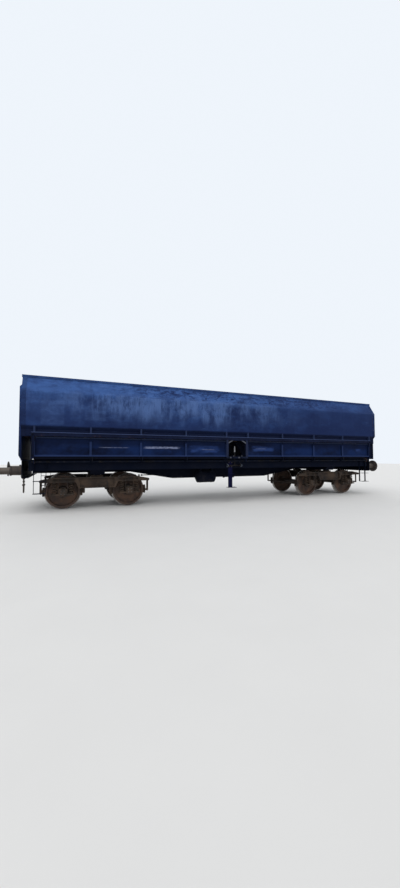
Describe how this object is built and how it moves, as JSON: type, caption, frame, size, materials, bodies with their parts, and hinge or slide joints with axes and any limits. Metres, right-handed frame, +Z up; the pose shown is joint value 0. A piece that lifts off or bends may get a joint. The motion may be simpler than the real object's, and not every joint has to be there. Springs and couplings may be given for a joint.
{
  "type": "open hopper wagon",
  "caption": "Open-topped railway hopper wagon with a saddle floor, folded side walls, hinged bottom-side flaps, bogies, buffers and screw couplings.",
  "frame": {"origin": "middle of the wagon on the floor that the wheel flanges stand on", "axes": "+X along the wagon from end a to end b, +Y to its left side, +Z up"},
  "size_m": [13.5, 3.132, 3.5778],
  "materials": {
    "body_paint": "weathered dark blue-grey paint",
    "flap_paint": "weathered dark navy paint",
    "frame_paint": "dirty near-black paint",
    "worn_floor": "scoured and rusty plate",
    "bogie_metal": "brake-dust brown",
    "wheel_steel": "rust with bright treads",
    "bare_steel": "greasy steel"
  },
  "bodies": {
    "wagon": {"saddle_floor": "worn_floor", "saddle_frames": "frame_paint", "control_covers": "worn_floor", "end_slopes": "worn_floor", "side_wall_left": "body_paint", "side_wall_right": "body_paint", "wall_posts": "worn_floor", "cross_ties": "worn_floor", "top_rim": "body_paint", "end_wall_a": "body_paint", "end_wall_b": "body_paint", "end_posts": "body_paint", "corner_posts": "body_paint", "hinge_beam_left": "body_paint", "hinge_beam_right": "body_paint", "centre_frames": "body_paint", "end_frames": "body_paint", "operating_shafts": "bare_steel", "control_levers": "bare_steel", "centre_sill": "frame_paint", "side_sills": "frame_paint", "cross_members": "frame_paint", "headstocks": "frame_paint", "body_bolsters": "frame_paint", "buffers": "bogie_metal", "draw_hooks": "bare_steel", "screw_couplings": "bare_steel", "air_reservoir": "frame_paint", "brake_cylinder": "frame_paint", "brake_rods": "bare_steel", "brake_pipe": "frame_paint", "centre_steps": "frame_paint", "corner_steps": "frame_paint", "handrails": "frame_paint"},
    "bogie_a": {"bogie_frame_a": "bogie_metal", "axle_boxes_a": "bogie_metal", "springs_a": "bogie_metal", "brake_gear_a": "bogie_metal"},
    "wheelset_a1": {"wheelset_a1": "wheel_steel"},
    "wheelset_a2": {"wheelset_a2": "wheel_steel"},
    "bogie_b": {"bogie_frame_b": "bogie_metal", "axle_boxes_b": "bogie_metal", "springs_b": "bogie_metal", "brake_gear_b": "bogie_metal"},
    "wheelset_b1": {"wheelset_b1": "wheel_steel"},
    "wheelset_b2": {"wheelset_b2": "wheel_steel"},
    "flap_left_a": {"flap_left_a": "flap_paint"},
    "flap_left_b": {"flap_left_b": "flap_paint"},
    "flap_right_a": {"flap_right_a": "flap_paint"},
    "flap_right_b": {"flap_right_b": "flap_paint"}
  },
  "joints": [
    {"name": "bogie_a_pivot", "type": "hinge", "parent": "wagon", "child": "bogie_a", "pos_m": [-4.25, 0, 0.933], "axis": [0, 0, 1], "range_deg": [-5, 5]},
    {"name": "wheelset_a1_spin", "type": "hinge", "parent": "bogie_a", "child": "wheelset_a1", "pos_m": [-5.15, 0, 0.488], "axis": [0, 1, 0], "continuous": true},
    {"name": "wheelset_a2_spin", "type": "hinge", "parent": "bogie_a", "child": "wheelset_a2", "pos_m": [-3.35, 0, 0.488], "axis": [0, 1, 0], "continuous": true},
    {"name": "bogie_b_pivot", "type": "hinge", "parent": "wagon", "child": "bogie_b", "pos_m": [4.25, 0, 0.933], "axis": [0, 0, 1], "range_deg": [-5, 5]},
    {"name": "wheelset_b1_spin", "type": "hinge", "parent": "bogie_b", "child": "wheelset_b1", "pos_m": [3.35, 0, 0.488], "axis": [0, 1, 0], "continuous": true},
    {"name": "wheelset_b2_spin", "type": "hinge", "parent": "bogie_b", "child": "wheelset_b2", "pos_m": [5.15, 0, 0.488], "axis": [0, 1, 0], "continuous": true},
    {"name": "flap_left_a_hinge", "type": "hinge", "parent": "wagon", "child": "flap_left_a", "pos_m": [-3.11, 1.448, 1.953], "axis": [1, 0, 0], "range_deg": [0, 50]},
    {"name": "flap_left_b_hinge", "type": "hinge", "parent": "wagon", "child": "flap_left_b", "pos_m": [3.11, 1.448, 1.953], "axis": [1, 0, 0], "range_deg": [0, 50]},
    {"name": "flap_right_a_hinge", "type": "hinge", "parent": "wagon", "child": "flap_right_a", "pos_m": [-3.11, -1.448, 1.953], "axis": [-1, 0, 0], "range_deg": [0, 50]},
    {"name": "flap_right_b_hinge", "type": "hinge", "parent": "wagon", "child": "flap_right_b", "pos_m": [3.11, -1.448, 1.953], "axis": [-1, 0, 0], "range_deg": [0, 50]}
  ]
}
